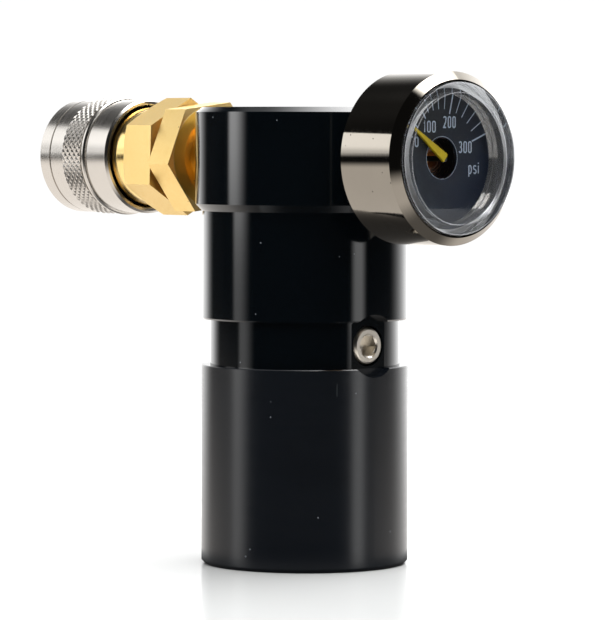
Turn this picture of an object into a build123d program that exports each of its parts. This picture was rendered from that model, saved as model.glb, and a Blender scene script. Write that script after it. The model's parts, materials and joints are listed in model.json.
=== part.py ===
from build123d import *
from math import cos, radians, sin, tan
import os

# Compact high-pressure air regulator with an inlet filter, a pressure gauge and a quick coupler.
# Millimetres. +Z is up and the origin is on the body's axis at its base face.
# The gauge points along +X and the coupler along -X.

# Round body
LOWER_R = 15.875
LOWER_TOP = 30.6
NECK_R = 14.6
NECK_TOP = 37.6
UPPER_R = 15.8
UPPER_TOP = 54.15
CAP_R = 16.9
CAP_TOP = 70.0
BASE_CHAMFER = 0.55

# Heights of the side fittings
PORT_Z = 62.35
BLEED_Z = 34.0

# Tank thread in the base, 0.825 inch with 14 turns to the inch
TANK_MINOR_R = 9.5
TANK_MAJOR_R = 10.45
TANK_PITCH = 25.4 / 14
TANK_THREAD_TOP = 14.2
NOSE_R = 8.0
NOSE_TOP = 20.0

# Joint between the two body halves
FLOOR_TOP = 24.5
SPIGOT_R = 13.0
SOCKET_R = 13.05

# High-pressure side
HP_BORE_R = 5.5
SEAT_TOP = 40.5
SEAT_FACE = 38.4
PIN_BORE_R = 1.3
CHAMBER_FLOOR = 42.5

# Cap, piston and adjuster
CAP_FOOT = 46.2
CAP_SPIGOT_R = 13.6
PISTON_BORE_R = 8.6
PISTON_R = 8.55
PISTON_SEAT = 51.0
SPRING_TOP = 60.5
PAD_TOP = 62.0
ADJUSTER_R = 5.95
ADJUSTER_BORE_R = 6.0
ADJUSTER_TOP = 69.2

# Side ports and the pipe threads in them
PORT_FLOOR = 10.4
PIPE_R = 4.75
PIPE_TAPER = 0.03
PIPE_PITCH = 25.4 / 27
THREAD_DEPTH = 0.4

# Gauge, as distances along +X
STEM_HEX = 11.0
CASE_BACK = 22.0
CASE_R = 12.85
CASE_LIP = 33.5
LIP_R = 11.65
CAVITY_R = 11.4
CAVITY_FLOOR = 23.0
SPACER_R = 11.35
SPACER_BORE_R = 9.9
ANCHOR_TOP = 25.3
ANCHOR_R = 5.6
TUBE_TOP = 27.3
TUBE_INNER_R = 1.2
TUBE_STEP = 0.225
TUBE_STRIP = 0.2
TUBE_HALF_TURNS = 16
DIAL_BACK = 29.1
DIAL_FACE = 29.5
DIAL_R = 10.4
DIAL_HOLE_R = 3.1
LENS_FOOT = 29.54
LENS_R = 11.3
LENS_BORE_R = 9.7
LENS_FRONT = 33.9
LENS_THICK = 1.2
SPINDLE_R = 0.4
SPINDLE_HEAD_R = 0.65
SPINDLE_HEAD = 29.7
POINTER_BACK = 30.05
POINTER_THICK = 0.42
POINTER_LENGTH = 7.9
POINTER_ANGLE = 144.8

# Coupler, as distances along -X
HEX_CORNER_R = 9.35
HEX_B = (21.85, 26.75)
HEX_B_TURN = 7.1
HEX_A = (27.57, 34.2)
HEX_A_TURN = 28.1
SHANK_R = 7.9
TUBE_R = 6.7
MOUTH_R = 4.6
MOUTH_END = 54.2
SLEEVE_BACK = 37.4
SLEEVE_FRONT = 54.7
SLEEVE_BAND_R = 9.16
SLEEVE_BEAD_R = 9.5
SLEEVE_BORE_R = 8.2
SLEEVE_STROKE = 2.8
BALL_D = 51.0
BALL_R = 3.175 / 2
BALL_RING_R = 5.5875
SLEEVE_LOCK_R = 7.25
BALL_LIFT = 0.6
BALL_ANGLES = (45, 135, 225, 315)

# Bleed screw, as distances along +X
SPOTFACE_X = 14.2
SPOTFACE_R = 4.76
BLEED_SHANK_R = 1.95
BLEED_HEAD_R = 2.92
BLEED_FACE = 14.4

# Lines that the turned parts are turned about: local x runs along the line and local y is the radius.
PORT_POINT = (0, 0, PORT_Z)
BODY_LINE = (Plane(origin=(0, 0, 0), x_dir=(0, 0, 1), z_dir=(0, 1, 0)), Axis.Z)
GAUGE_LINE = (Plane(origin=PORT_POINT, x_dir=(1, 0, 0), z_dir=(0, -1, 0)), Axis(PORT_POINT, (1, 0, 0)))
COUPLER_LINE = (Plane(origin=PORT_POINT, x_dir=(-1, 0, 0), z_dir=(0, 1, 0)), Axis(PORT_POINT, (-1, 0, 0)))
BLEED_LINE = (
    Plane(origin=(0, 0, BLEED_Z), x_dir=(1, 0, 0), z_dir=(0, -1, 0)),
    Axis((0, 0, BLEED_Z), (1, 0, 0)),
)


def across(x, height=PORT_Z):
    """A plane square to the X axis, with local x along +Y and local y along +Z."""
    return Plane(origin=(x, 0, height), x_dir=(0, 1, 0), z_dir=(1, 0, 0))


def turned(outline, line, mode=Mode.ADD):
    """Revolve an outline of (distance along the line, radius) points."""
    plane, axis = line
    with BuildSketch(plane) as section:
        with BuildLine():
            Polyline(*outline, close=True)
        make_face()
    revolve(section.sketch, axis=axis, mode=mode)


def round_ring(along, ring_r, wire_r, line):
    """A ring of round section, such as an O-ring."""
    plane, axis = line
    with BuildSketch(plane) as section:
        with Locations((along, ring_r)):
            Circle(wire_r)
    revolve(section.sketch, axis=axis)


def thread_grooves(first, last, pitch, crest_r, depth, line, taper=0.0):
    """Cut evenly spaced 60 degree grooves; a negative depth cuts outwards from a hole's wall."""
    half_width = abs(depth) * tan(radians(30))
    over = 0.1 if depth > 0 else -0.1
    flare = abs(over) * tan(radians(30))
    for turn in range(int((last - first) / pitch)):
        at = first + pitch * (turn + 0.5)
        radius = crest_r + taper * (at - first)
        outline = [
            (at - half_width - flare, radius + over),
            (at, radius - depth),
            (at + half_width + flare, radius + over),
        ]
        turned(outline, line, Mode.SUBTRACT)


def coil(start, end, mean_r, wire_d, turns, line):
    """A round-wire compression spring between two seats."""
    plane, _ = line
    length = end - start - wire_d
    centre = plane.from_local_coords((start + wire_d / 2, 0, 0))
    with BuildLine() as path:
        Helix(pitch=length / turns, height=length, radius=mean_r, center=centre, direction=plane.x_dir)
    with BuildSketch(Plane(origin=path.line @ 0, z_dir=path.line % 0)) as wire:
        Circle(wire_d / 2)
    sweep(wire.sketch, path=path.line, is_frenet=True)


def hexagon_bar(start, end, corner_r, turn, height=PORT_Z, mode=Mode.ADD):
    """A hexagonal prism along X; turn is a corner's angle from +Y towards +Z."""
    with BuildSketch(across(start, height)) as section:
        RegularPolygon(radius=corner_r, side_count=6, rotation=turn)
    extrude(section.sketch, amount=end - start, mode=mode)


def save(builder, name):
    """Label a finished sub-part and write it as its own STEP file."""
    builder.part.label = name
    export_step(builder.part, f"parts/{name}.step")


os.makedirs("parts", exist_ok=True)

# ---------------------------------------------------------------- round body

with BuildPart() as inlet_body:
    outline = [
        (0, TANK_MAJOR_R + 0.15),
        (0, LOWER_R - BASE_CHAMFER),
        (BASE_CHAMFER, LOWER_R),
        (LOWER_TOP - 0.12, LOWER_R),
        (LOWER_TOP, LOWER_R - 0.12),
        (LOWER_TOP, SOCKET_R),
        (FLOOR_TOP, SOCKET_R),
        (FLOOR_TOP, 4.0),
        (NOSE_TOP, 4.0),
        (NOSE_TOP, NOSE_R),
        (TANK_THREAD_TOP + 1.0, NOSE_R),
        (TANK_THREAD_TOP + 1.0, TANK_MAJOR_R + 0.05),
        (TANK_THREAD_TOP, TANK_MAJOR_R + 0.05),
        (TANK_THREAD_TOP, TANK_MINOR_R),
        (TANK_MAJOR_R + 0.15 - TANK_MINOR_R, TANK_MINOR_R),
    ]
    turned(outline, BODY_LINE)
    thread_grooves(1.1, TANK_THREAD_TOP, TANK_PITCH, TANK_MINOR_R, TANK_MINOR_R - TANK_MAJOR_R, BODY_LINE)
    with BuildSketch(across(SPOTFACE_X, BLEED_Z)):
        Circle(SPOTFACE_R)
    extrude(amount=5, mode=Mode.SUBTRACT)
save(inlet_body, "inlet_body")

with BuildPart() as regulator_body:
    outline = [
        (24.6, HP_BORE_R),
        (24.6, 7.1),
        (26.05, 7.1),
        (26.05, 8.9),
        (24.6, 8.9),
        (24.6, SPIGOT_R),
        (LOWER_TOP, SPIGOT_R),
        (LOWER_TOP, NECK_R),
        (NECK_TOP, NECK_R),
        (NECK_TOP, UPPER_R - 0.25),
        (NECK_TOP + 0.25, UPPER_R),
        (UPPER_TOP, UPPER_R),
        (UPPER_TOP, CAP_SPIGOT_R + 0.05),
        (46.0, CAP_SPIGOT_R + 0.05),
        (46.0, 12.0),
        (CHAMBER_FLOOR, 12.0),
        (CHAMBER_FLOOR, PIN_BORE_R),
        (SEAT_TOP, PIN_BORE_R),
        (SEAT_TOP, 5.0),
        (SEAT_FACE, 5.0),
        (SEAT_FACE, HP_BORE_R),
        (25.35, HP_BORE_R),
        (25.35, HP_BORE_R + 0.25),
        (24.9, HP_BORE_R + 0.25),
        (24.9, HP_BORE_R),
    ]
    turned(outline, BODY_LINE)
    turned([(5, 0), (5, 2.0), (11.4, 2.0), (11.4, 3.1), (16, 3.1), (16, 0)], BLEED_LINE, Mode.SUBTRACT)
    with BuildSketch(across(SPOTFACE_X, BLEED_Z)):
        Circle(SPOTFACE_R)
    extrude(amount=5, mode=Mode.SUBTRACT)
save(regulator_body, "regulator_body")

with BuildPart() as outlet_cap:
    outline = [
        (CAP_FOOT, PISTON_BORE_R),
        (CAP_FOOT, CAP_SPIGOT_R),
        (48.7, CAP_SPIGOT_R),
        (48.7, 12.4),
        (50.1, 12.4),
        (50.1, CAP_SPIGOT_R),
        (UPPER_TOP, CAP_SPIGOT_R),
        (UPPER_TOP, UPPER_R),
        (UPPER_TOP + CAP_R - UPPER_R, CAP_R),
        (CAP_TOP - 0.75, CAP_R),
        (CAP_TOP, CAP_R - 1.0),
        (CAP_TOP, ADJUSTER_BORE_R + 0.4),
        (CAP_TOP - 0.4, ADJUSTER_BORE_R),
        (63.0, ADJUSTER_BORE_R),
        (63.0, PISTON_BORE_R),
    ]
    turned(outline, BODY_LINE)
    port = [
        (PORT_FLOOR, 0),
        (PORT_FLOOR, PIPE_R),
        (CAP_R + 1, PIPE_R + PIPE_TAPER * (CAP_R + 1 - PORT_FLOOR)),
        (CAP_R + 1, 0),
    ]
    turned(port, GAUGE_LINE, Mode.SUBTRACT)
    turned(port, COUPLER_LINE, Mode.SUBTRACT)
    with BuildSketch(Plane.XY.offset(CAP_FOOT)):
        with Locations((11.1, 0), (-11.1, 0)):
            Circle(0.8)
    extrude(amount=12.3, mode=Mode.SUBTRACT)
save(outlet_cap, "outlet_cap")

with BuildPart() as body_oring:
    round_ring(25.25, 8.0, 0.75, BODY_LINE)
save(body_oring, "body_oring")

with BuildPart() as cap_oring:
    round_ring(49.4, 13.0, 0.6, BODY_LINE)
save(cap_oring, "cap_oring")

# ---------------------------------------------------------------- inlet, filter and valve

with BuildPart() as pin_depressor:
    outline = [
        (NOSE_TOP, 1.2),
        (NOSE_TOP, 3.95),
        (24.4, 3.95),
        (24.4, 0),
        (16.5, 0),
        (16.5, 0.9),
        (16.8, 1.2),
    ]
    turned(outline, BODY_LINE)
    with BuildSketch(Plane.XY.offset(NOSE_TOP)):
        with PolarLocations(2.5, 4, start_angle=45):
            Circle(0.6)
    extrude(amount=5, mode=Mode.SUBTRACT)
save(pin_depressor, "pin_depressor")

with BuildPart() as filter_clip:
    turned([(24.92, 3.6), (24.92, 5.7), (25.33, 5.7), (25.33, 3.6)], BODY_LINE)
save(filter_clip, "filter_clip")

with BuildPart() as inlet_filter:
    turned([(25.35, 0), (25.35, 5.1), (25.65, 5.4), (28.0, 5.4), (28.0, 0)], BODY_LINE)
save(inlet_filter, "inlet_filter")

with BuildPart() as filter_plate:
    turned([(28.0, 0), (28.0, 5.4), (28.4, 5.4), (28.4, 0)], BODY_LINE)
    with BuildSketch(Plane.XY.offset(27.9)):
        with PolarLocations(4.2, 8):
            Circle(0.6)
    extrude(amount=0.6, mode=Mode.SUBTRACT)
save(filter_plate, "filter_plate")

with BuildPart() as poppet_spring:
    coil(28.4, 35.4, 2.7, 0.7, 6, BODY_LINE)
save(poppet_spring, "poppet_spring")

with BuildPart() as valve_poppet:
    outline = [
        (31.5, 0),
        (31.5, 1.5),
        (31.8, 1.8),
        (35.4, 1.8),
        (35.4, 3.6),
        (36.3, 3.6),
        (36.3, 2.3),
        (38.38, 2.3),
        (38.38, 0.9),
        (43.3, 0.9),
        (43.48, 0.7),
        (43.48, 0),
    ]
    turned(outline, BODY_LINE)
save(valve_poppet, "valve_poppet")

with BuildPart() as seat_retainer:
    turned([(36.4, 2.6), (36.4, 5.45), (SEAT_FACE, 5.45), (SEAT_FACE, 2.6)], BODY_LINE)
save(seat_retainer, "seat_retainer")

with BuildPart() as valve_seat:
    turned([(SEAT_FACE, PIN_BORE_R), (SEAT_FACE, 4.95), (SEAT_TOP, 4.95), (SEAT_TOP, PIN_BORE_R)], BODY_LINE)
save(valve_seat, "valve_seat")

# ---------------------------------------------------------------- piston, main spring and adjuster

with BuildPart() as piston:
    outline = [
        (43.5, 0),
        (43.5, 3.0),
        (46.6, 3.0),
        (46.6, PISTON_R - 0.3),
        (46.9, PISTON_R),
        (48.1, PISTON_R),
        (48.1, 6.8),
        (49.9, 6.8),
        (49.9, PISTON_R),
        (50.7, PISTON_R),
        (PISTON_SEAT, PISTON_R - 0.3),
        (PISTON_SEAT, 4.3),
        (53.0, 3.8),
        (53.0, 0),
    ]
    turned(outline, BODY_LINE)
save(piston, "piston")

with BuildPart() as piston_oring:
    round_ring(49.0, 7.7, 0.84, BODY_LINE)
save(piston_oring, "piston_oring")

with BuildPart() as main_spring:
    coil(PISTON_SEAT, SPRING_TOP, 5.6, 1.4, 4.5, BODY_LINE)
save(main_spring, "main_spring")

with BuildPart() as spring_pad:
    outline = [
        (59.3, 0),
        (59.3, 3.9),
        (SPRING_TOP, 4.3),
        (SPRING_TOP, 7.5),
        (PAD_TOP, 7.5),
        (PAD_TOP, 0),
    ]
    turned(outline, BODY_LINE)
save(spring_pad, "spring_pad")

with BuildPart() as adjuster_screw:
    outline = [
        (PAD_TOP, 0),
        (PAD_TOP, 5.2),
        (PAD_TOP + 0.75, ADJUSTER_R),
        (ADJUSTER_TOP - 0.4, ADJUSTER_R),
        (ADJUSTER_TOP, ADJUSTER_R - 0.4),
        (ADJUSTER_TOP, 0),
    ]
    turned(outline, BODY_LINE)
    turned([(68.8, 0), (68.8, 2.6), (ADJUSTER_TOP, 3.1), (ADJUSTER_TOP, 0)], BODY_LINE, Mode.SUBTRACT)
    with BuildSketch(Plane.XY.offset(ADJUSTER_TOP)):
        RegularPolygon(radius=2.5, side_count=6, major_radius=False)
    extrude(amount=-4.2, mode=Mode.SUBTRACT)
save(adjuster_screw, "adjuster_screw")

# ---------------------------------------------------------------- bleed screw

with BuildPart() as bleed_oring:
    round_ring(11.95, 2.45, 0.5, BLEED_LINE)
save(bleed_oring, "bleed_oring")

with BuildPart() as bleed_screw:
    outline = [
        (6.5, 0),
        (6.5, BLEED_SHANK_R - 0.45),
        (6.95, BLEED_SHANK_R),
        (12.5, BLEED_SHANK_R),
        (12.5, BLEED_HEAD_R),
        (13.6, BLEED_HEAD_R),
        (13.95, 2.84),
        (14.25, 2.66),
        (BLEED_FACE, 2.46),
        (BLEED_FACE, 0),
    ]
    turned(outline, BLEED_LINE)
    entry = [(14.15, 0), (14.15, 1.6), (BLEED_FACE, 1.85), (BLEED_FACE, 0)]
    turned(entry, BLEED_LINE, Mode.SUBTRACT)
    hexagon_bar(BLEED_FACE - 2.2, BLEED_FACE, 1.5 / cos(radians(30)), -5, BLEED_Z, Mode.SUBTRACT)
save(bleed_screw, "bleed_screw")

# ---------------------------------------------------------------- gauge

with BuildPart() as gauge_stem:
    hexagon_bar(18.0, CASE_BACK, STEM_HEX / 2 / cos(radians(30)), 12)
    outline = [
        (PORT_FLOOR + 0.4, 0),
        (PORT_FLOOR + 0.4, PIPE_R - 0.35),
        (PORT_FLOOR + 0.7, PIPE_R - 0.05),
        (18.0, PIPE_R - 0.05 + PIPE_TAPER * (17.6 - PORT_FLOOR)),
        (18.0, 3.5),
        (25.0, 3.5),
        (25.0, 0),
    ]
    turned(outline, GAUGE_LINE)
    thread_grooves(11.2, 17.9, PIPE_PITCH, PIPE_R - 0.04, THREAD_DEPTH, GAUGE_LINE, PIPE_TAPER)
    turned([(10, 0), (10, 1.0), (24.0, 1.0), (24.0, 0)], GAUGE_LINE, Mode.SUBTRACT)
save(gauge_stem, "gauge_stem")

with BuildPart() as gauge_case:
    plane, axis = GAUGE_LINE
    with BuildSketch(plane):
        with BuildLine():
            edge_x = CASE_LIP - (CASE_R - LIP_R)
            Polyline(
                (CAVITY_FLOOR, 3.55),
                (CASE_BACK, 3.55),
                (CASE_BACK, CASE_R),
                (edge_x, CASE_R),
                (CASE_LIP, LIP_R),
                (CASE_LIP, CAVITY_R),
                (CAVITY_FLOOR, CAVITY_R),
                close=True,
            )
        make_face()
        corners = vertices().filter_by_position(Axis.Z, PORT_Z + CASE_R - 0.01, PORT_Z + CASE_R + 0.01)
        fillet(corners, radius=0.35)
    revolve(axis=axis)
save(gauge_case, "gauge_case")

with BuildPart() as bourdon_anchor:
    outline = [
        (CAVITY_FLOOR, 3.55),
        (CAVITY_FLOOR, ANCHOR_R),
        (ANCHOR_TOP, ANCHOR_R),
        (ANCHOR_TOP, SPINDLE_R + 0.05),
        (25.05, SPINDLE_R + 0.05),
        (25.05, 3.55),
    ]
    turned(outline, GAUGE_LINE)
save(bourdon_anchor, "bourdon_anchor")

with BuildPart() as bourdon_tube:
    with BuildSketch(across(ANCHOR_TOP)):
        for half in range(TUBE_HALF_TURNS):
            centre = (-TUBE_STEP / 2, 0) if half % 2 else (TUBE_STEP / 2, 0)
            start = 180 if half % 2 else 0
            with BuildLine(mode=Mode.PRIVATE) as turn:
                CenterArc(centre, TUBE_INNER_R + TUBE_STEP * (half + 0.5), start, 180)
            SlotArc(turn.edges()[0], TUBE_STRIP)
    extrude(amount=TUBE_TOP - ANCHOR_TOP)
save(bourdon_tube, "bourdon_tube")

with BuildPart() as dial_spacer:
    outline = [
        (CAVITY_FLOOR, SPACER_BORE_R),
        (CAVITY_FLOOR, SPACER_R),
        (DIAL_FACE, SPACER_R),
        (DIAL_FACE, DIAL_R + 0.05),
        (DIAL_BACK, DIAL_R + 0.05),
        (DIAL_BACK, SPACER_BORE_R),
    ]
    turned(outline, GAUGE_LINE)
save(dial_spacer, "dial_spacer")

with BuildPart() as gauge_dial:
    outline = [(DIAL_BACK, DIAL_HOLE_R), (DIAL_BACK, DIAL_R), (DIAL_FACE, DIAL_R), (DIAL_FACE, DIAL_HOLE_R)]
    turned(outline, GAUGE_LINE)
save(gauge_dial, "gauge_dial")

with BuildPart() as pointer_spindle:
    outline = [
        (25.1, 0),
        (25.1, SPINDLE_R),
        (SPINDLE_HEAD, SPINDLE_R),
        (SPINDLE_HEAD, SPINDLE_HEAD_R),
        (POINTER_BACK, SPINDLE_HEAD_R),
        (POINTER_BACK, 0),
    ]
    turned(outline, GAUGE_LINE)
save(pointer_spindle, "pointer_spindle")

with BuildPart() as gauge_pointer:
    along = (0, cos(radians(POINTER_ANGLE)), sin(radians(POINTER_ANGLE)))
    with BuildSketch(Plane(origin=(POINTER_BACK, 0, PORT_Z), x_dir=along, z_dir=(1, 0, 0))):
        with BuildLine():
            Polyline((0.1, 0.68), (POINTER_LENGTH, 0.12), (POINTER_LENGTH, -0.12), (0.1, -0.68), close=True)
        make_face()
    extrude(amount=POINTER_THICK)
save(gauge_pointer, "gauge_pointer")

with BuildPart() as gauge_lens:
    plane, axis = GAUGE_LINE
    with BuildSketch(plane):
        with BuildLine():
            Polyline(
                (LENS_FOOT, LENS_BORE_R),
                (LENS_FOOT, LENS_R),
                (LENS_FRONT, LENS_R),
                (LENS_FRONT, 0),
                (LENS_FRONT - LENS_THICK, 0),
                (LENS_FRONT - LENS_THICK, LENS_BORE_R),
                close=True,
            )
        make_face()
        front_corners = vertices().filter_by_position(Axis.X, LENS_FRONT - LENS_THICK, LENS_FRONT)
        rim_corners = front_corners.filter_by_position(Axis.Z, PORT_Z + LENS_BORE_R, PORT_Z + LENS_R)
        fillet(rim_corners, radius=0.35)
    revolve(axis=axis)
save(gauge_lens, "gauge_lens")

# ---------------------------------------------------------------- coupler

with BuildPart() as hex_nipple:
    hexagon_bar(-HEX_B[1], -HEX_B[0], HEX_CORNER_R, HEX_B_TURN)
    outline = [
        (PORT_FLOOR + 0.4, 0),
        (PORT_FLOOR + 0.4, PIPE_R - 0.35),
        (PORT_FLOOR + 0.7, PIPE_R - 0.05),
        (HEX_B[0] - 0.45, PIPE_R - 0.05 + PIPE_TAPER * (HEX_B[0] - 0.85 - PORT_FLOOR)),
        (HEX_B[0] - 0.45, 6.2),
        (HEX_B[0], 8.1),
        (HEX_B[1], 6.0),
        (HEX_B[1], PIPE_R + 0.1),
        (33.0, PIPE_R + 0.1),
        (33.4, PIPE_R - 0.3),
        (33.4, 0),
    ]
    turned(outline, COUPLER_LINE)
    thread_grooves(11.2, HEX_B[0] - 0.6, PIPE_PITCH, PIPE_R - 0.04, THREAD_DEPTH, COUPLER_LINE, PIPE_TAPER)
    thread_grooves(27.7, 33.0, PIPE_PITCH, PIPE_R + 0.1, THREAD_DEPTH, COUPLER_LINE)
    turned([(10, 0), (10, 2.2), (34, 2.2), (34, 0)], COUPLER_LINE, Mode.SUBTRACT)
save(hex_nipple, "hex_nipple")

with BuildPart() as coupler_adapter:
    hexagon_bar(-HEX_A[1], -HEX_A[0], HEX_CORNER_R, HEX_A_TURN)
    far_r = 12.0
    near_r = 8.3
    cone = [
        (HEX_A[0], 0),
        (HEX_A[0], far_r),
        (HEX_A[1] - (far_r - near_r) * tan(radians(30)), far_r),
        (HEX_A[1], near_r),
        (HEX_A[1], 0),
    ]
    turned(cone, COUPLER_LINE, Mode.INTERSECT)
    shank = [(HEX_A[1], 0), (HEX_A[1], SHANK_R), (39.5, SHANK_R), (39.5, 5.6), (41.5, 5.6), (41.5, 0)]
    turned(shank, COUPLER_LINE)
    outline = [
        (HEX_A[0] - 1, 0),
        (HEX_A[0] - 1, PIPE_R + 0.15),
        (34.0, PIPE_R + 0.15),
        (34.0, 2.4),
        (36.0, 2.4),
        (36.0, 3.6),
        (42.0, 3.6),
        (42.0, 0),
    ]
    turned(outline, COUPLER_LINE, Mode.SUBTRACT)
save(coupler_adapter, "coupler_adapter")

with BuildPart() as coupler_body:
    outline = [
        (39.5, 5.65),
        (39.5, SHANK_R - 0.05),
        (41.0, SHANK_R - 0.05),
        (41.0, TUBE_R),
        (48.68, TUBE_R),
        (48.68, 6.3),
        (49.22, 6.3),
        (49.22, TUBE_R),
        (MOUTH_END - 0.4, TUBE_R),
        (MOUTH_END, TUBE_R - 0.4),
        (MOUTH_END, MOUTH_R + 0.4),
        (MOUTH_END - 0.4, MOUTH_R),
        (48.9, MOUTH_R),
        (48.9, 5.45),
        (47.6, 5.45),
        (47.6, MOUTH_R),
        (47.2, MOUTH_R),
        (47.2, 3.3),
        (45.7, 3.3),
        (45.7, 5.0),
        (41.5, 5.0),
        (41.5, 5.65),
    ]
    turned(outline, COUPLER_LINE)
    for angle in BALL_ANGLES:
        direction = Vector(0, cos(radians(angle)), sin(radians(angle)))
        with BuildSketch(Plane(origin=Vector(-BALL_D, 0, PORT_Z) + direction * 3.9, z_dir=direction)):
            Circle(BALL_R + 0.04)
        extrude(amount=4, mode=Mode.SUBTRACT)
save(coupler_body, "coupler_body")

with BuildPart() as coupler_seal:
    round_ring(48.25, 4.8, 0.62, COUPLER_LINE)
save(coupler_seal, "coupler_seal")

with BuildPart() as coupler_valve:
    outline = [
        (40.5, 0),
        (40.5, 0.9),
        (40.8, 1.2),
        (44.2, 1.2),
        (44.2, 4.4),
        (45.2, 4.4),
        (45.2, 1.5),
        (49.0, 1.5),
        (49.2, 1.3),
        (49.2, 0),
    ]
    turned(outline, COUPLER_LINE)
save(coupler_valve, "coupler_valve")

with BuildPart() as valve_gasket:
    turned([(45.2, 1.52), (45.2, 4.3), (45.66, 4.3), (45.66, 1.52)], COUPLER_LINE)
save(valve_gasket, "valve_gasket")

with BuildPart() as valve_spring:
    coil(36.0, 44.2, 2.6, 0.5, 7, COUPLER_LINE)
save(valve_spring, "valve_spring")

with BuildPart() as sleeve_clip:
    turned([(48.7, 6.32), (48.7, 7.15), (49.2, 7.15), (49.2, 6.32)], COUPLER_LINE)
save(sleeve_clip, "sleeve_clip")

with BuildPart() as sleeve_spring:
    coil(41.0, 46.5, 7.45, 0.8, 3, COUPLER_LINE)
save(sleeve_spring, "sleeve_spring")

with BuildPart() as coupler_sleeve:
    outline = [
        (SLEEVE_BACK, SLEEVE_BORE_R + 0.2),
        (SLEEVE_BACK, SLEEVE_BAND_R - 0.35),
        (SLEEVE_BACK + 0.35, SLEEVE_BAND_R),
        (42.3, SLEEVE_BAND_R),
        (42.38, SLEEVE_BAND_R - 0.25),
        (42.62, SLEEVE_BAND_R - 0.25),
        (42.75, SLEEVE_BEAD_R - 0.2),
        (42.95, SLEEVE_BEAD_R),
        (43.3, SLEEVE_BEAD_R),
        (43.5, SLEEVE_BEAD_R - 0.2),
        (43.6, SLEEVE_BAND_R - 0.2),
        (43.8, SLEEVE_BAND_R - 0.2),
        (43.85, SLEEVE_BAND_R),
        (48.4, SLEEVE_BAND_R),
        (48.4, SLEEVE_BAND_R + 0.04),
        (50.7, SLEEVE_BAND_R + 0.04),
        (50.7, SLEEVE_BAND_R),
        (51.62, SLEEVE_BAND_R),
        (51.7, SLEEVE_BAND_R - 0.3),
        (51.9, SLEEVE_BAND_R - 0.3),
        (51.98, SLEEVE_BAND_R),
        (SLEEVE_FRONT - 0.4, SLEEVE_BAND_R),
        (SLEEVE_FRONT, SLEEVE_BAND_R - 0.4),
        (SLEEVE_FRONT, 8.05),
        (SLEEVE_FRONT - 0.2, SLEEVE_LOCK_R + BALL_LIFT),
        (BALL_D + SLEEVE_STROKE, SLEEVE_LOCK_R + BALL_LIFT),
        (BALL_D, SLEEVE_LOCK_R),
        (48.6, SLEEVE_LOCK_R),
        (48.6, TUBE_R + 0.05),
        (46.5, TUBE_R + 0.05),
        (46.5, SLEEVE_BORE_R),
        (SLEEVE_BACK + 0.2, SLEEVE_BORE_R),
    ]
    turned(outline, COUPLER_LINE)
save(coupler_sleeve, "coupler_sleeve")

for number, angle in enumerate(BALL_ANGLES, start=1):
    spot = Vector(0, cos(radians(angle)), sin(radians(angle))) * BALL_RING_R + Vector(-BALL_D, 0, PORT_Z)
    with BuildPart(Plane(origin=spot)) as ball:
        Sphere(BALL_R)
    save(ball, f"ball_{number}")
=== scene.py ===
import json
import math

import bmesh
import bpy
from mathutils import Matrix, Vector


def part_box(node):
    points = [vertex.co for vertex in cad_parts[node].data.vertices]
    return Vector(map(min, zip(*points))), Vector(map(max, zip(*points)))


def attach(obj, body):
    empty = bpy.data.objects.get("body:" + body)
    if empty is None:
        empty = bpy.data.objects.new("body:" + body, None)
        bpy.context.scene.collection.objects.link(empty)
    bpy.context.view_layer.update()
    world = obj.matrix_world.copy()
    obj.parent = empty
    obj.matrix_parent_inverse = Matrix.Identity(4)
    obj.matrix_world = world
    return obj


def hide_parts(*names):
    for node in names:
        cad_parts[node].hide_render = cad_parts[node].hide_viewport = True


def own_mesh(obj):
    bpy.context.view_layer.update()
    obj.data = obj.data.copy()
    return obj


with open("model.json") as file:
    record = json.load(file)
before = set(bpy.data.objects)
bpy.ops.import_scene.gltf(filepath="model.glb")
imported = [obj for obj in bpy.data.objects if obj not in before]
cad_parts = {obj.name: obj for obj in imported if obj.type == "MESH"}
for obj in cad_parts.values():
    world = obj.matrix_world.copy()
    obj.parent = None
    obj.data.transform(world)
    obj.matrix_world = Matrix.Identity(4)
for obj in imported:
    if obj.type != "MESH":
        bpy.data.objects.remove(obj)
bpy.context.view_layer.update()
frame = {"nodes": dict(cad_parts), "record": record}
NODES = frame["nodes"]
MM = 0.001


# ---------------------------------------------------------------- places taken from the frame


def low(node):
    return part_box(node)[0]


def high(node):
    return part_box(node)[1]


PORT_Z = (low("gauge_case").z + high("gauge_case").z) / 2
PORT_CENTRE = (0, 0, PORT_Z)
DIAL_X = high("gauge_dial").x


# ---------------------------------------------------------------- objects


def add_object(name, data):
    thing = bpy.data.objects.new(name, data)
    bpy.context.scene.collection.objects.link(thing)
    return thing


def mesh_piece(name, vertices, faces, material, body):
    """A flat-shaded piece that rides on a body."""
    data = bpy.data.meshes.new(name)
    data.from_pydata(vertices, [], faces)
    data.validate()
    data.materials.append(material)
    piece = add_object(name, data)
    for face in data.polygons:
        face.use_smooth = False
    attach(piece, body)


def make_disc(name, radius, segments, material):
    data = bpy.data.meshes.new(name)
    grid = bmesh.new()
    bmesh.ops.create_circle(grid, cap_ends=True, radius=radius, segments=segments)
    grid.to_mesh(data)
    grid.free()
    data.materials.append(material)
    return add_object(name, data)


# ---------------------------------------------------------------- camera

CAMERA_AZIMUTH = math.radians(47.974)
CAMERA_DISTANCE = 0.56765
CAMERA_HEIGHT = 0.065055
CAMERA_PITCH = math.radians(2.637)
CAMERA_ROLL = math.radians(0.165)
LENS = 214.47
SENSOR_WIDTH = 36
BACK = Vector((math.sin(CAMERA_AZIMUTH), -math.cos(CAMERA_AZIMUTH), 0))
RIGHT = Vector((math.cos(CAMERA_AZIMUTH), math.sin(CAMERA_AZIMUTH), 0))
UP = Vector((0, 0, 1))


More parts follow.
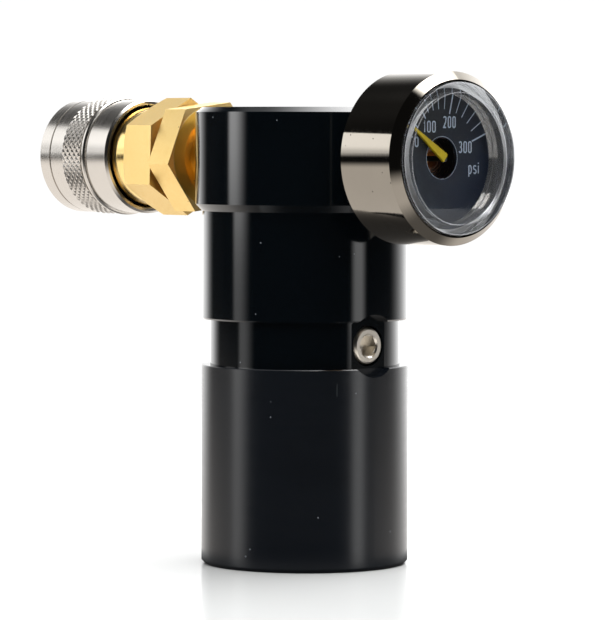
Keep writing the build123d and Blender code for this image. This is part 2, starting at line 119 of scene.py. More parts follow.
def make_camera():
    data = bpy.data.cameras.new("camera")
    data.lens = LENS
    data.sensor_width = SENSOR_WIDTH
    data.clip_start = 0.01
    data.clip_end = 50
    camera = add_object("camera", data)
    forward = -BACK * math.cos(CAMERA_PITCH) - UP * math.sin(CAMERA_PITCH)
    upward = UP * math.cos(CAMERA_PITCH) - BACK * math.sin(CAMERA_PITCH)
    right = RIGHT * math.cos(CAMERA_ROLL) + upward * math.sin(CAMERA_ROLL)
    upward = upward * math.cos(CAMERA_ROLL) - RIGHT * math.sin(CAMERA_ROLL)
    place = BACK * CAMERA_DISTANCE + UP * CAMERA_HEIGHT
    matrix = Matrix((right, upward, -forward)).transposed().to_4x4()
    matrix.translation = place
    camera.matrix_world = matrix
    bpy.context.scene.camera = camera


# ---------------------------------------------------------------- node helpers

NOISE_LOW = 0.3
NOISE_HIGH = 0.7
SPECK_R = 0.16


class Nodes:
    """Adds and links nodes in one node tree."""

    def __init__(self, tree):
        self.tree = tree

    def add(self, kind, **settings):
        node = self.tree.nodes.new(kind)
        for key, value in settings.items():
            setattr(node, key, value)
        return node

    def link(self, source, output, target, socket):
        self.tree.links.new(source.outputs[output], target.inputs[socket])

    def set(self, node, **values):
        for key, value in values.items():
            node.inputs[key.replace("_", " ")].default_value = value

    def math(self, operation, a, b=None):
        node = self.add("ShaderNodeMath", operation=operation)
        for index, value in enumerate((a, b)):
            if value is None:
                continue
            if isinstance(value, (int, float)):
                node.inputs[index].default_value = value
            else:
                self.tree.links.new(value, node.inputs[index])
        return node.outputs["Value"]

    def multiply(self, first, *others):
        for other in others:
            first = self.math("MULTIPLY", first, other)
        return first

    def span(self, value, start, end, low_value=0.0, high_value=1.0, curve="SMOOTHSTEP"):
        """Map a socket's values between start and end onto a range; start is the smaller."""
        node = self.add("ShaderNodeMapRange", interpolation_type=curve)
        self.set(node, From_Min=start, From_Max=end, To_Min=low_value, To_Max=high_value)
        self.tree.links.new(value, node.inputs["Value"])
        return node.outputs["Result"]


def blank_material(name):
    material = bpy.data.materials.new(name)
    material.use_nodes = True
    material.node_tree.nodes.clear()
    return material


class Glow(Nodes):
    """A material that only gives light, for staged pieces that the camera doesn't see."""

    def __init__(self, name):
        self.material = blank_material(name)
        super().__init__(self.material.node_tree)
        self.emission = self.add("ShaderNodeEmission")
        output = self.add("ShaderNodeOutputMaterial")
        self.link(self.emission, "Emission", output, "Surface")


class Shade(Nodes):
    """A material whose surface is one Principled shader."""

    def __init__(self, name):
        self.material = blank_material(name)
        super().__init__(self.material.node_tree)
        self.output = self.add("ShaderNodeOutputMaterial")
        self.surface = self.add("ShaderNodeBsdfPrincipled")
        self.link(self.surface, "BSDF", self.output, "Surface")

    def object_place(self, scale=(1, 1, 1), centre=(0, 0, 0)):
        """Object coordinates in metres, moved to a centre and stretched."""
        coordinates = self.add("ShaderNodeTexCoord")
        mapping = self.add("ShaderNodeMapping")
        mapping.inputs["Scale"].default_value = scale
        mapping.inputs["Location"].default_value = [-c * s for c, s in zip(centre, scale)]
        self.link(coordinates, "Object", mapping, "Vector")
        return mapping

    def noise(self, place, scale, detail=3.0, roughness=0.55):
        noise = self.add("ShaderNodeTexNoise")
        self.set(noise, Scale=scale, Detail=detail, Roughness=roughness)
        self.link(place, "Vector", noise, "Vector")
        return noise

    def ramp(self, source, low_value, high_value, low_at=NOISE_LOW, high_at=NOISE_HIGH, output="Fac"):
        """Map a texture's factor onto a range of plain numbers."""
        return self.span(source.outputs[output], low_at, high_at, low_value, high_value, "LINEAR")

    def roughen(self, *arguments, **settings):
        """Drive the roughness by a ramp."""
        self.tree.links.new(self.ramp(*arguments, **settings), self.surface.inputs["Roughness"])

    def paint(self, colour):
        """Take the base colour from a socket."""
        self.tree.links.new(colour, self.surface.inputs["Base Color"])

    def mix_colour(self, factor, a, b):
        """Mix two colours by a factor socket and return the colour socket."""
        node = self.add("ShaderNodeMix", data_type="RGBA")
        self.tree.links.new(factor, node.inputs["Factor"])
        for socket, value in (("A", a), ("B", b)):
            target = [s for s in node.inputs if s.name == socket and s.type == "RGBA"][0]
            if isinstance(value, (tuple, list)):
                target.default_value = (*value, 1) if len(value) == 3 else value
            else:
                self.tree.links.new(value, target)
        return [s for s in node.outputs if s.type == "RGBA"][0]

    def bump(self, height, strength, distance, normal=None):
        node = self.add("ShaderNodeBump")
        self.set(node, Strength=strength, Distance=distance)
        self.tree.links.new(height, node.inputs["Height"])
        if normal is not None:
            self.tree.links.new(normal, node.inputs["Normal"])
        self.tree.links.new(node.outputs["Normal"], self.surface.inputs["Normal"])
        return node.outputs["Normal"]


def specks(shade, scale, share, place=None):
    """A factor that is 1 on small specks, one in each of the given share of the texture's cells."""
    place = place or shade.object_place()
    cells = shade.add("ShaderNodeTexVoronoi", feature="F1")
    shade.set(cells, Scale=scale, Randomness=1.0)
    shade.link(place, "Vector", cells, "Vector")
    dot = shade.math("LESS_THAN", cells.outputs["Distance"], SPECK_R)
    split = shade.add("ShaderNodeSeparateColor")
    shade.link(cells, "Color", split, "Color")
    chosen = shade.math("LESS_THAN", split.outputs["Red"], share)
    return shade.math("MULTIPLY", dot, chosen)


# ---------------------------------------------------------------- materials

TURNED = (60, 1, 1)  # stretch of the marks left by turning about the ports' axis
MARKS_DEPTH = 0.00001
GRAIN_DEPTH = 0.00002
CLOUD_LOW = 0.35
CLOUD_HIGH = 0.65
HEX_LONG = 6.63 * MM  # the coupler's hexagon, back from its face
NUT_REACH = 5.75 * MM  # from that face to the far side of the nipple's nut
LENS_RIM_R = 9.7 * MM
# painted highlights on the lens rim: radii and width of the two pale rings
LENS_HIGHLIGHT_RINGS_R = (9.72 * MM, 11.15 * MM)
LENS_HIGHLIGHT_WIDE = 0.16 * MM
DIAL_BLUE_SPAN = (-8 * MM, 13 * MM)
# painted glow of light on the dial's lower left: its span and its way across the dial
DIAL_GLOW_SPAN = (1 * MM, 11.5 * MM)
DIAL_GLOW_WAY = (-0.8, -0.6)
# level of the painted reflection on the lens rim
LENS_PAINTED_REFLECTION = 0.022
# level of the painted highlight rings on the lens rim
LENS_HIGHLIGHT_LEVEL = 0.18


def anodised(name, roughness, grey, ring_depth):
    """Black hard anodising on turned aluminium: faint turning rings, dust specks and fine scratches."""
    shade = Shade(name)
    shade.set(shade.surface, Specular_IOR_Level=0.5)
    wide = shade.noise(shade.object_place(), 90, 4)
    rings = shade.noise(shade.object_place(scale=(1, 1, 60)), 130, 4, 0.6)
    shade.roughen(rings, roughness * 0.85, roughness * 1.2)
    tone = shade.ramp(wide, 0.8, 1.25)
    dust = specks(shade, 1300, 0.010)
    hairs = specks(shade, 700, 0.012, shade.object_place(scale=(1, 1, 0.12)))
    base = shade.mix_colour(tone, (0, 0, 0), grey)
    scratched = shade.mix_colour(hairs, base, (0.012, 0.014, 0.016))
    final = shade.mix_colour(dust, scratched, (0.10, 0.11, 0.12))
    shade.paint(final)
    shade.bump(rings.outputs["Fac"], 0.25, ring_depth)
    return shade.material


def metal(name, colour, roughness, marks_noise=60, wear=0.0):
    """Bare or plated metal with machining marks, slight colour drift and small pits."""
    shade = Shade(name)
    shade.set(shade.surface, Metallic=1.0)
    marks = shade.noise(shade.object_place(scale=TURNED, centre=PORT_CENTRE), marks_noise, 4, 0.6)
    drift = shade.noise(shade.object_place(), 160, 3)
    low_tone = [c * 0.9 for c in colour]
    base = shade.mix_colour(drift.outputs["Fac"], low_tone, colour)
    if wear:
        pits = specks(shade, 1400, wear)
        base = shade.mix_colour(pits, base, [c * 0.22 for c in colour])
    shade.paint(base)
    shade.roughen(marks, roughness * 0.8, roughness * 1.25)
    shade.bump(marks.outputs["Fac"], 0.3, MARKS_DEPTH)
    return shade.material


def brass(name):
    """Brass: mirror-like on the turned shank, satin on the hexagons, with a deeper orange painted next to the
    cap as a painted reflection.
    """
    shade = Shade(name)
    shade.set(shade.surface, Metallic=1.0)
    place = shade.object_place()
    split = shade.add("ShaderNodeSeparateXYZ")
    shade.link(place, "Vector", split, "Vector")
    joint = high("coupler_adapter").x
    hexes = shade.math("GREATER_THAN", split.outputs["X"], joint - HEX_LONG)
    painted_reflection_zone = shade.math("GREATER_THAN", split.outputs["X"], joint + NUT_REACH)
    grain = shade.noise(shade.object_place(), 2200, 3, 0.7)
    turning = shade.noise(shade.object_place(scale=TURNED, centre=PORT_CENTRE), 60, 4, 0.6)
    satin = shade.ramp(grain, 0.36, 0.52)
    bright = shade.ramp(turning, 0.12, 0.2)
    blend = shade.add("ShaderNodeMix", data_type="FLOAT")
    shade.tree.links.new(hexes, blend.inputs[0])
    shade.tree.links.new(bright, blend.inputs[2])
    shade.tree.links.new(satin, blend.inputs[3])
    shade.tree.links.new(blend.outputs[0], shade.surface.inputs["Roughness"])
    drift = shade.noise(shade.object_place(), 160, 3)
    base = shade.mix_colour(drift.outputs["Fac"], (0.92, 0.66, 0.25), (0.97, 0.73, 0.32))
    # painted reflection: a more saturated orange painted into the brass next to the cap, for the lit floor
    # that it mirrors there
    base = shade.mix_colour(painted_reflection_zone, base, (0.98, 0.58, 0.10))
    pits = specks(shade, 1400, 0.01)
    final = shade.mix_colour(pits, base, (0.4, 0.27, 0.1))
    shade.paint(final)
    normal = shade.bump(turning.outputs["Fac"], 0.2, 0.000008)
    shade.bump(grain.outputs["Fac"], 0.12, 0.000015, normal)
    return shade.material


def grained(name, scale, detail, colours, roughness, bump=0.0):
    """Rubber, plastic, ink or paint with fine grain in its tone and gloss."""
    shade = Shade(name)
    grain = shade.noise(shade.object_place(), scale, detail)
    shade.paint(shade.mix_colour(grain.outputs["Fac"], *colours))
    shade.roughen(grain, *roughness)
    if bump:
        shade.bump(grain.outputs["Fac"], bump, GRAIN_DEPTH)
    return shade.material


def sintered(name):
    shade = Shade(name)
    shade.set(shade.surface, Metallic=1.0)
    cells = shade.add("ShaderNodeTexVoronoi", feature="F1")
    shade.set(cells, Scale=4000)
    shade.link(shade.object_place(), "Vector", cells, "Vector")
    tone = shade.mix_colour(cells.outputs["Distance"], (0.62, 0.42, 0.2), (0.2, 0.12, 0.05))
    shade.paint(tone)
    shade.roughen(cells, 0.35, 0.7, 0.0, 0.8, "Distance")
    inverse = shade.math("SUBTRACT", 1.0, cells.outputs["Distance"])
    shade.bump(inverse, 0.8, 0.0001)
    return shade.material


def clear_lens(name):
    """Clear plastic; its rim carries a faint pale patchy painted reflection and two brighter lines that are
    painted highlights.
    """
    shade = Shade(name)
    shade.set(shade.surface, IOR=1.49)
    across = shade.add("ShaderNodeVectorMath", operation="LENGTH")
    shade.link(shade.object_place(scale=(0, 1, 1), centre=PORT_CENTRE), "Vector", across, 0)
    radius = across.outputs["Value"]
    smear = shade.noise(shade.object_place(), 220, 4)
    streaks = shade.noise(shade.object_place(centre=PORT_CENTRE), 420, 3, 0.6)
    rim = shade.math("GREATER_THAN", radius, LENS_RIM_R)
    patchy = shade.ramp(streaks, 0.35, 1.0, CLOUD_LOW, CLOUD_HIGH)
    # painted reflection: a faint pale patchy light over the rim
    pale_light = shade.multiply(rim, patchy, LENS_PAINTED_REFLECTION)
    # painted highlights: two pale rings on the rim
    highlight_rings = []
    for line in LENS_HIGHLIGHT_RINGS_R:
        offset = shade.math("ABSOLUTE", shade.math("SUBTRACT", radius, line))
        highlight_rings.append(shade.math("LESS_THAN", offset, LENS_HIGHLIGHT_WIDE / 2))
    painted_highlights = shade.multiply(shade.math("ADD", *highlight_rings), LENS_HIGHLIGHT_LEVEL)
    # the painted light on the rim, the stronger of reflection and highlight rings, lowers the clearness and
    # tints the colour lavender
    light_pattern = shade.math("MAXIMUM", pale_light, painted_highlights)
    clear = shade.math("SUBTRACT", 1.0, light_pattern)
    shade.tree.links.new(clear, shade.surface.inputs["Transmission Weight"])
    tone = shade.mix_colour(light_pattern, (0.97, 0.98, 0.99), (0.72, 0.72, 0.86))
    shade.paint(tone)
    shade.roughen(smear, 0.0, 0.03, 0.45, 0.8)
    return shade.material


def dial_enamel(name):
    """Black dial, bluer at its lower right, with a faint pale painted glow of light at its lower left and
    fine pale dust.
    """
    shade = Shade(name)
    place = shade.object_place(centre=PORT_CENTRE)
    split = shade.add("ShaderNodeSeparateXYZ")
    shade.link(place, "Vector", split, "Vector")
    slope = shade.math("SUBTRACT", split.outputs["Y"], split.outputs["Z"])
    blueness = shade.span(slope, *DIAL_BLUE_SPAN, curve="LINEAR")
    base = shade.mix_colour(blueness, (0.006, 0.009, 0.014), (0.002, 0.011, 0.034))
    # painted light: a faint pale patchy glow at the dial's lower left, for light that the lens wall throws
    # onto it
    leftward = shade.math("MULTIPLY", split.outputs["Y"], DIAL_GLOW_WAY[0])
    downward = shade.math("MULTIPLY", split.outputs["Z"], DIAL_GLOW_WAY[1])
    lean = shade.math("ADD", leftward, downward)
    light_pattern = shade.noise(shade.object_place(), 420, 4, 0.65)
    patchy = shade.ramp(light_pattern, 0.3, 1.0, CLOUD_LOW, CLOUD_HIGH)
    painted_glow = shade.multiply(shade.span(lean, *DIAL_GLOW_SPAN), patchy)
    base = shade.mix_colour(painted_glow, base, (0.045, 0.058, 0.075))
    dust = specks(shade, 3000, 0.12)
    final = shade.mix_colour(dust, base, (0.045, 0.06, 0.08))
    shade.paint(final)
    grain = shade.noise(shade.object_place(), 3000, 3)
    shade.roughen(grain, 0.38, 0.55)
    shade.bump(grain.outputs["Fac"], 0.15, GRAIN_DEPTH)
    return shade.material


RECIPES = {
    "anodised_gloss": (anodised, 0.08, (0.0010, 0.0018, 0.0026), 0.0000012),
    "anodised_satin": (anodised, 0.22, (0.0028, 0.0040, 0.0060), 0.0000016),
    "rubber": (grained, 2500, 4, ((0.012, 0.012, 0.012), (0.03, 0.03, 0.03)), (0.4, 0.6), 0.2),
    "brass": (brass,),
    "spring_steel": (metal, (0.5, 0.5, 0.5), 0.3),
    "sintered_bronze": (sintered,),
    "stainless": (metal, (0.62, 0.61, 0.6), 0.22),
    "seat_plastic": (grained, 900, 3, ((0.675, 0.612, 0.468), (0.75, 0.68, 0.52)), (0.3825, 0.5175), 0.1),
    "chrome_case": (metal, (0.277, 0.254, 0.220), 0.06, 60, 0.045),
    "blackened_steel": (metal, (0.05, 0.05, 0.05), 0.4),
    "bronze_tube": (metal, (0.26, 0.125, 0.075), 0.3),
    "aluminium_ring": (metal, (0.72, 0.72, 0.72), 0.3),
    "dial_black": (dial_enamel,),
    "dial_print": (grained, 4000, 2, ((0.496, 0.576, 0.688), (0.62, 0.72, 0.86)), (0.45, 0.6)),
    "clear_lens": (clear_lens,),
    "plated_screw": (metal, (0.82, 0.78, 0.70), 0.34, 90),
    "pointer_yellow": (grained, 1500, 3, ((0.62, 0.44, 0.0), (0.72, 0.53, 0.005)), (0.35, 0.5)),
    "sleeve_steel": (metal, (0.63, 0.60, 0.56), 0.22, 60, 0.006),
}


def make_materials():
    """Every material by the name of its slot."""
    return {name: maker(name, *settings) for name, (maker, *settings) in RECIPES.items()}


def dress_cad_nodes(materials):
    """Give every CAD node the material of its slot."""
    slots = {part["node"]: part["material_slot"] for part in frame["record"]["subparts"]}
    for name, node in NODES.items():
        node.data.materials.clear()
        node.data.materials.append(materials[slots[name]])


# ---------------------------------------------------------------- copies of the coil springs


def make_springs():
    """A copy of each coil spring that a joint lists, riding on the body in place of the CAD spring, which is
    hidden.
    """
    for joint in frame["record"]["behaviour"]["joints"]:
        for item in joint.get("deforming_nodes", []):
            letter = item["mode"][-1]
            along = Vector([float(letter == name) for name in "xyz"])
            node = item["node"]
            length = (high(node) - low(node)).dot(along)
            coils = add_object(node + "_coils", NODES[node].data.copy())
            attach(coils, "body")
            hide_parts(node)
            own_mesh(coils)


# ---------------------------------------------------------------- knurled band of the sleeve

KNURL_START = -48.4 * MM
KNURL_END = -43.85 * MM
KNURL_ROOT_R = 9.2 * MM
KNURL_CREST_R = 9.37 * MM
KNURL_INNER_R = 8.9 * MM
KNURL_COUNT = 48
KNURL_ROWS = 4
KNURL_STEPS = 8
KNURL_FLAT = 0.75


def knurl_radius(around, along):
    """Height of a diamond knurl at a lattice place counted in pitches."""
    heights = []
    for phase in (around + along, around - along):
        heights.append(2 * abs(phase - round(phase)))
    height = min(min(heights), KNURL_FLAT) / KNURL_FLAT
    return KNURL_ROOT_R + (KNURL_CREST_R - KNURL_ROOT_R) * height


def make_knurl(materials):
    """Diamond knurl: a closed ring whose outside is a lattice of flat-topped pyramids."""
    turns = KNURL_COUNT * KNURL_STEPS
    rows = KNURL_ROWS * KNURL_STEPS
    inner_rows = {rows + 1: rows, rows + 2: 0}
    total = rows + 1 + len(inner_rows)
    vertices = []
    for row in range(total):
        inner = row in inner_rows
        share = inner_rows.get(row, row)
        x = KNURL_START + (KNURL_END - KNURL_START) * share / rows
        for turn in range(turns):
            angle = math.tau * turn / turns
            radius = KNURL_INNER_R if inner else knurl_radius(turn / KNURL_STEPS, share / KNURL_STEPS)
            vertices.append((x, radius * math.cos(angle), PORT_Z + radius * math.sin(angle)))
    faces = []
    for row in range(total):
        below = row * turns
        above = (row + 1) % total * turns
        for turn in range(turns):
            after = (turn + 1) % turns
            a, b, c, d = below + turn, below + after, above + after, above + turn
            if row >= rows:
                faces.append((a, d, c, b))
            elif (turn + row) % 2:
                faces += [(a, d, b), (b, d, c)]
            else:
                faces += [(a, c, b), (a, d, c)]
    mesh_piece("sleeve_knurl", vertices, faces, materials["sleeve_steel"], "sleeve")


# ---------------------------------------------------------------- print on the dial

PRINT_THICK = 0.02 * MM
TICK_OUTER_R = 10.3 * MM
TICK_INNER_R = 7.2 * MM
LONG_TICK_INNER_R = 6.65 * MM
TICK_WIDTH = 0.13 * MM
LONG_TICK_WIDTH = 0.22 * MM
STROKE = 0.2 * MM
LETTER_GAP = 0.26 * MM
NARROW = {"1": 0.55, "i": 0.33}
HOLE_EDGE_R = 3.15 * MM
HOLE_EDGE_WIDE = 0.06 * MM
PRINT_Z = PORT_Z + 0.12 * MM
DIAL_TICKS = (0, 50, 100, 120, 140, 160, 180, 200, 220, 240, 260, 280, 300)
LONG_TICKS = (0, 50, 100, 200, 300)
DIAL_ZERO = 153  # degrees
DIAL_SLOPE = 27
DIAL_CURVE = 5.6
WORDS = (  # figures or unit, then centre right, centre up, width and height in millimetres
    ("0", -5.15, 2.34, 0.75, 1.55),
    ("100", -2.5, 4.58, 2.45, 1.76),
    ("200", 1.53, 5.27, 2.58, 1.77),
    ("300", 4.8, 1.58, 2.7, 1.78),
    ("psi", 6.6, -1.75, 2.2, 1.35),
)


def dial_angle(pressure):
    """Angle of a pressure on the scale, from +Y towards +Z."""
    hundreds = pressure / 100
    return math.radians(DIAL_ZERO - DIAL_SLOPE * hundreds - DIAL_CURVE * hundreds * hundreds)


def ribbon(path, width):
    """A flat strip of the given width along a path of (right, up) points, as (outline vertices, quads)."""
    closed = path[0] == path[-1]
    points = [Vector(p) for p in (path[:-1] if closed else path)]
    count = len(points)
    vertices = []
    for index, point in enumerate(points):
        before = points[index - 1] if closed or index else point
        after = points[(index + 1) % count] if closed or index < count - 1 else point
        along_in = (point - before).normalized() if point != before else (after - point).normalized()
        along_out = (after - point).normalized() if after != point else along_in
        along = (along_in + along_out).normalized()
        side = Vector((-along.y, along.x)) * width / 2 / max(0.5, along.dot(along_out))
        vertices += [point + side, point - side]
    quads = []
    for index in range(count if closed else count - 1):
        after = (index + 1) % count
        quads.append((2 * index, 2 * index + 1, 2 * after + 1, 2 * after))
    return vertices, quads


def arc(centre, radius_right, radius_up, start, end, steps=10):
    """Points of an elliptical arc, angles in degrees."""
    points = []
    for step in range(steps + 1):
        angle = math.radians(start + (end - start) * step / steps)
        points.append((centre[0] + radius_right * math.cos(angle), centre[1] + radius_up * math.sin(angle)))
    return points


def glyph(letter, wide, tall):
    """Strokes of one figure in a box of the given size, its lower left corner at (0, 0)."""
    half = wide / 2
    bend = half * 0.95
    if letter == "0":
        top = arc((half, tall - bend), half, bend, 0, 180)
        bottom = arc((half, bend), half, bend, 180, 360)
        return [top + bottom + [top[0]]]
    if letter == "1":
        return [[(0, tall * 0.78), (wide * 0.3, tall * 0.88), (wide * 0.45, tall), (wide * 0.45, 0)]]
    if letter == "2":
        top = arc((half, tall - bend), half, bend, 165, -20)
        return [top + [(wide * 0.86, tall * 0.52), (0, 0.0), (wide, 0)]]
    if letter == "3":
        quarter = tall / 4
        upper = arc((half, tall - quarter), half * 0.92, quarter, 150, -80)
        lower = arc((half, quarter), half, quarter, 80, -150)
        return [upper + lower[1:]]
    if letter == "p":
        bowl = arc((half, tall * 0.5), half, tall * 0.5, 90, -90)
        return [[(0, -tall * 0.42), (0, tall)], [(0, tall)] + bowl + [(0, 0)]]
    if letter == "s":
        quarter = tall / 4
        upper = arc((half, tall - quarter), half, quarter, 30, 255)
        lower = arc((half, quarter), half, quarter, 75, -150)
        return [upper + lower]
    return [[(half, 0), (half, tall)], [(half, tall * 1.22), (half, tall * 1.22 + STROKE)]]


def dial_strokes():
    """Every stroke of the print as (path in dial coordinates, width)."""
    strokes = []
    for pressure in DIAL_TICKS:
        long = pressure in LONG_TICKS
        angle = dial_angle(pressure)
        inner = LONG_TICK_INNER_R if long else TICK_INNER_R
        ends = [(r * math.cos(angle), r * math.sin(angle)) for r in (inner, TICK_OUTER_R)]
        strokes.append((ends, LONG_TICK_WIDTH if long else TICK_WIDTH))
    for word, centre, middle, wide, tall in WORDS:
        shares = [NARROW.get(letter, 1.0) for letter in word]
        unit = (wide * MM - LETTER_GAP * (len(word) - 1)) / sum(shares)
        left = (centre - wide / 2) * MM + STROKE / 2
        foot = (middle - tall / 2) * MM + STROKE / 2
        for letter, share in zip(word, shares):
            for path in glyph(letter, unit * share - STROKE, tall * MM - STROKE):
                strokes.append(([(left + a, foot + b) for a, b in path], STROKE))
            left += unit * share + LETTER_GAP
    edge = arc((0, 0), HOLE_EDGE_R, HOLE_EDGE_R, 0, 360, 72)
    strokes.append((edge[:-1] + edge[:1], HOLE_EDGE_WIDE))
    return strokes


def make_dial_print(materials):
    """Ticks, figures and unit as thin raised print on the dial."""
    vertices = []
    faces = []
    for path, width in dial_strokes():
        outline, quads = ribbon(path, width)
        start = len(vertices)
        count = len(outline)
        for x in (DIAL_X - PRINT_THICK / 2, DIAL_X + PRINT_THICK):
            vertices += [(x, point.x, PRINT_Z + point.y) for point in outline]
        edges = {}
        for quad in quads:
            faces.append([start + count + index for index in quad])
            faces.append([start + index for index in reversed(quad)])
            for a, b in zip(quad, quad[1:] + quad[:1]):
                edges[(a, b)] = edges.get((a, b), 0) + 1
        for a, b in edges:
            if (b, a) not in edges:
                faces.append((start + a, start + b, start + count + b, start + count + a))
    mesh_piece("dial_print", vertices, faces, materials["dial_print"], "body")


# ---------------------------------------------------------------- light, floor and world

TOP_LIGHT_PLACE = Vector((0.25, -0.22, 0.85))
TOP_LIGHT_AIM = Vector((0, 0, 0.03))
TOP_LIGHT_SIZE = 1.0
TOP_LIGHT_WATTS = 12
SEEN_WHITE = 1.02
PLAIN_LEVEL = 0.9
DARK_LEVEL = 0.012
FLOOR_LEVEL = 1.25
FLOOR_TINT = (1.0, 0.95, 0.90, 1)
WHITE = (1, 1, 1, 1)
STUDIO_PATCHES = (  # level, then turns and rises in degrees, each as (start, full, full, end)
    (1.1, (-90, -83.5, -80, -63), (-30, -25, 20, 26)),
    (4.6, (-90, -83.5, -80, -62), (-2.2, 0.6, 20, 26)),
    (2.1, (51, 59.5, 64, 73.5), (-30, -25, 20, 26)),
    (1.4, (51, 59.5, 64, 73.5), (-2.2, 0.6, 20, 26)),
    (1.3, (-116, -106, -96, -93), (0.8, 4.5, 16, 21)),
    (2.0, (-190, -180, -150, -124), (-8, -2, 10, 40)),
    (2.5, (108, 150, 180, 190), (-8, -2, 44, 56)),
)


def make_top_light():
    """A large soft area light that lights surfaces but isn't mirrored in them."""
    data = bpy.data.lights.new("top_soft", "AREA")
    data.shape = "SQUARE"
    data.size = TOP_LIGHT_SIZE
    data.energy = TOP_LIGHT_WATTS
    light = add_object("top_soft", data)
    light.location = TOP_LIGHT_PLACE
    light.rotation_euler = (TOP_LIGHT_AIM - TOP_LIGHT_PLACE).to_track_quat("-Z", "Y").to_euler()
    light.visible_glossy = False


class Sky(Nodes):
    """Directions of mirrored light. turn is the angle from BACK, positive towards RIGHT, around is the same
    without its sign, and rise is the angle above the horizon, all in degrees; ahead and aside are the
    direction's parts along BACK and RIGHT. All are fixed in the world, wherever the camera is."""

    def __init__(self, tree):
        super().__init__(tree)
        coordinates = self.add("ShaderNodeTexCoord")
        split = self.add("ShaderNodeSeparateXYZ")
        self.link(coordinates, "Generated", split, "Vector")
        self.ahead = self.dot(coordinates, BACK)
        self.aside = self.dot(coordinates, RIGHT)
        turn = self.math("ARCTAN2", self.aside, self.ahead)
        self.turn = self.math("MULTIPLY", turn, math.degrees(1))
        height = self.math("ARCSINE", split.outputs["Z"])
        self.rise = self.math("MULTIPLY", height, math.degrees(1))
        self.around = self.math("ABSOLUTE", self.turn)

    def dot(self, coordinates, axis):
        node = self.add("ShaderNodeVectorMath", operation="DOT_PRODUCT")
        node.inputs[1].default_value = axis
        self.link(coordinates, "Generated", node, 0)
        return node.outputs["Value"]

    def step(self, value, start, end):
        """0 before start, 1 after end, smooth between; start may be the larger."""
        if start > end:
            return self.span(value, end, start, 1.0, 0.0)
        return self.span(value, start, end)

    def patch(self, level, turns, rises):
        """A soft-edged bright patch; turns and rises are (start, full, full, end) in degrees."""
        edges = []
        for value, (start, full, last, end) in ((self.turn, turns), (self.rise, rises)):
            edges += [self.step(value, start, full), self.step(value, end, last)]
        return self.multiply(*edges, level)

    def total(self, parts):
        value = parts[0]
        for part in parts[1:]:
            value = self.math("ADD", value, part)
        return value


def studio_room(sky):
    """Walls, cards and ceiling of the mirrored studio, as one level."""
    patches = [sky.patch(*patch) for patch in STUDIO_PATCHES]
    ceiling = sky.multiply(sky.step(sky.rise, 42, 60), sky.step(sky.ahead, 0.38, 0.12))
    rightward = sky.multiply(sky.step(sky.aside, -0.3, 0.4), 11.0)
    ceiling = sky.multiply(ceiling, sky.math("ADD", rightward, 0.6))
    pale_light = sky.multiply(sky.step(sky.around, 96, 116), 0.02)
    return sky.math("ADD", sky.total(patches + [ceiling, pale_light]), DARK_LEVEL)


def studio_floor(sky):
    """The mirrored floor, as one level. It starts just under the horizon away from BACK and lower down
    towards it, and is darker straight below."""
    side = sky.multiply(sky.step(sky.rise, -2.4, -9), sky.step(sky.around, 60, 96))
    front = sky.multiply(sky.step(sky.rise, -10, -28), sky.step(sky.around, 96, 60))
    below = sky.math("ADD", sky.multiply(sky.step(sky.rise, -64, -41), 0.8), 0.2)
    return sky.multiply(sky.math("ADD", side, front), FLOOR_LEVEL, below)


def make_world():
    """White to the camera and plain to diffuse light; only gloss and clear parts see the studio."""
    world = bpy.data.worlds.new("studio")
    bpy.context.scene.world = world
    world.use_nodes = True
    world.node_tree.nodes.clear()
    sky = Sky(world.node_tree)
    mirrored = sky.add("ShaderNodeAddShader")
    for socket, (colour, level) in enumerate(((WHITE, studio_room(sky)), (FLOOR_TINT, studio_floor(sky)))):
        part = sky.add("ShaderNodeBackground")
        sky.set(part, Color=colour)
        sky.tree.links.new(level, part.inputs["Strength"])
        sky.link(part, "Background", mirrored, socket)
    path = sky.add("ShaderNodeLightPath")
    chosen = mirrored.outputs["Shader"]
    for ray, level in (("Is Diffuse Ray", PLAIN_LEVEL), ("Is Camera Ray", SEEN_WHITE)):
        plain = sky.add("ShaderNodeBackground")
        sky.set(plain, Color=WHITE, Strength=level)
        mix = sky.add("ShaderNodeMixShader")
        sky.link(path, ray, mix, "Fac")
        sky.tree.links.new(chosen, mix.inputs[1])
        sky.link(plain, "Background", mix, 2)
        chosen = mix.outputs["Shader"]
    output = sky.add("ShaderNodeOutputWorld")
    sky.tree.links.new(chosen, output.inputs["Surface"])


BASE_SHADE_R = 0.03
BASE_SHADE_DROP = 0.0005
BASE_SHADE_LEVELS = (0.05, 0.5)
CARD_FACING = Vector((0.87, 0.49, 0))
CARD_ALONG = Vector((-0.49, 0.87, 0))
CARD_DISTANCE = 0.148
CARD_START = -0.085
CARD_END = 0.085
CARD_FOOT = 0.077
CARD_TOP = 0.134
CARD_RISE = 0.022
CARD_TURN = (-0.035, 0.0)
CARD_TURN_LEVELS = (2.8, 1.6)
CARD_RISE_LEVELS = (0.55, 1.0)
FLOOR_R = 3.0
FLOOR_FADE = (0.12, 0.42)


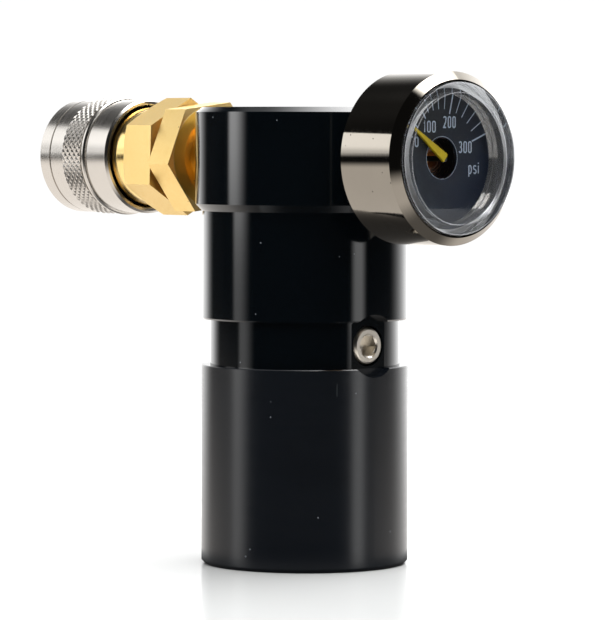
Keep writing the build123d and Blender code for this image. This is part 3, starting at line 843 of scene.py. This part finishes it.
def make_side_card():
    """A bright card left of the object, out of the camera's sight: brighter near the gauge and at its top."""
    glow = Glow("side_card")
    place = glow.add("ShaderNodeTexCoord")
    split = glow.add("ShaderNodeSeparateXYZ")
    glow.link(place, "Object", split, "Vector")
    upward = glow.span(split.outputs["Z"], CARD_FOOT, CARD_FOOT + CARD_RISE, *CARD_RISE_LEVELS)
    sideways = glow.span(split.outputs["X"], *CARD_TURN, *CARD_TURN_LEVELS)
    level = glow.multiply(upward, sideways)
    glow.tree.links.new(level, glow.emission.inputs["Strength"])
    corners = [(along, 0, CARD_FOOT) for along in (CARD_START, CARD_END)]
    corners += [(along, 0, CARD_TOP) for along in (CARD_END, CARD_START)]
    data = bpy.data.meshes.new("side_card")
    data.from_pydata(corners, [], [(0, 1, 2, 3)])
    data.materials.append(glow.material)
    card = add_object("side_card", data)
    turn = Matrix((CARD_ALONG, -CARD_FACING, UP)).transposed().to_4x4()
    turn.translation = -CARD_FACING * CARD_DISTANCE
    card.matrix_world = turn
    card.visible_camera = False
    card.visible_diffuse = False
    card.visible_shadow = False


def distance(nodes, place, output):
    """Distance from the middle of the floor."""
    length = nodes.add("ShaderNodeVectorMath", operation="LENGTH")
    nodes.link(place, output, length, 0)
    return length.outputs["Value"]


def make_base_shade():
    """A dark disc just under the floor, seen only in reflections, for the shadow the base stands in."""
    glow = Glow("base_shade")
    far = distance(glow, glow.add("ShaderNodeTexCoord"), "Object")
    level = glow.span(far, BASE_SHADE_R * 0.6, BASE_SHADE_R, *BASE_SHADE_LEVELS)
    glow.tree.links.new(level, glow.emission.inputs["Strength"])
    disc = make_disc("base_shade", BASE_SHADE_R, 64, glow.material)
    disc.location.z = -BASE_SHADE_DROP
    disc.visible_camera = False
    disc.visible_diffuse = False
    disc.visible_transmission = False
    disc.visible_shadow = False


def make_floor():
    """A pale floor that fades into the white of the background."""
    shade = Shade("floor_white")
    grain = shade.noise(shade.object_place(), 30, 3)
    tone = shade.mix_colour(grain.outputs["Fac"], (0.382, 0.386, 0.384), (0.390, 0.394, 0.392))
    shade.paint(tone)
    shade.set(shade.surface, Roughness=0.1, IOR=1.05)
    fade = shade.span(distance(shade, shade.object_place(), "Vector"), *FLOOR_FADE)
    glow = shade.add("ShaderNodeEmission")
    shade.set(glow, Strength=SEEN_WHITE)
    surface = shade.add("ShaderNodeMixShader")
    shade.tree.links.new(fade, surface.inputs["Fac"])
    shade.link(shade.surface, "BSDF", surface, 1)
    shade.link(glow, "Emission", surface, 2)
    shade.link(surface, "Shader", shade.output, "Surface")
    floor = make_disc("floor", FLOOR_R, 96, shade.material)
    floor.visible_glossy = False


# ---------------------------------------------------------------- the scene

MATERIALS = make_materials()
make_camera()
make_world()
make_floor()
make_side_card()
make_base_shade()
make_top_light()
dress_cad_nodes(MATERIALS)
make_springs()
make_knurl(MATERIALS)
make_dial_print(MATERIALS)
bpy.context.scene.view_settings.view_transform = "Standard"
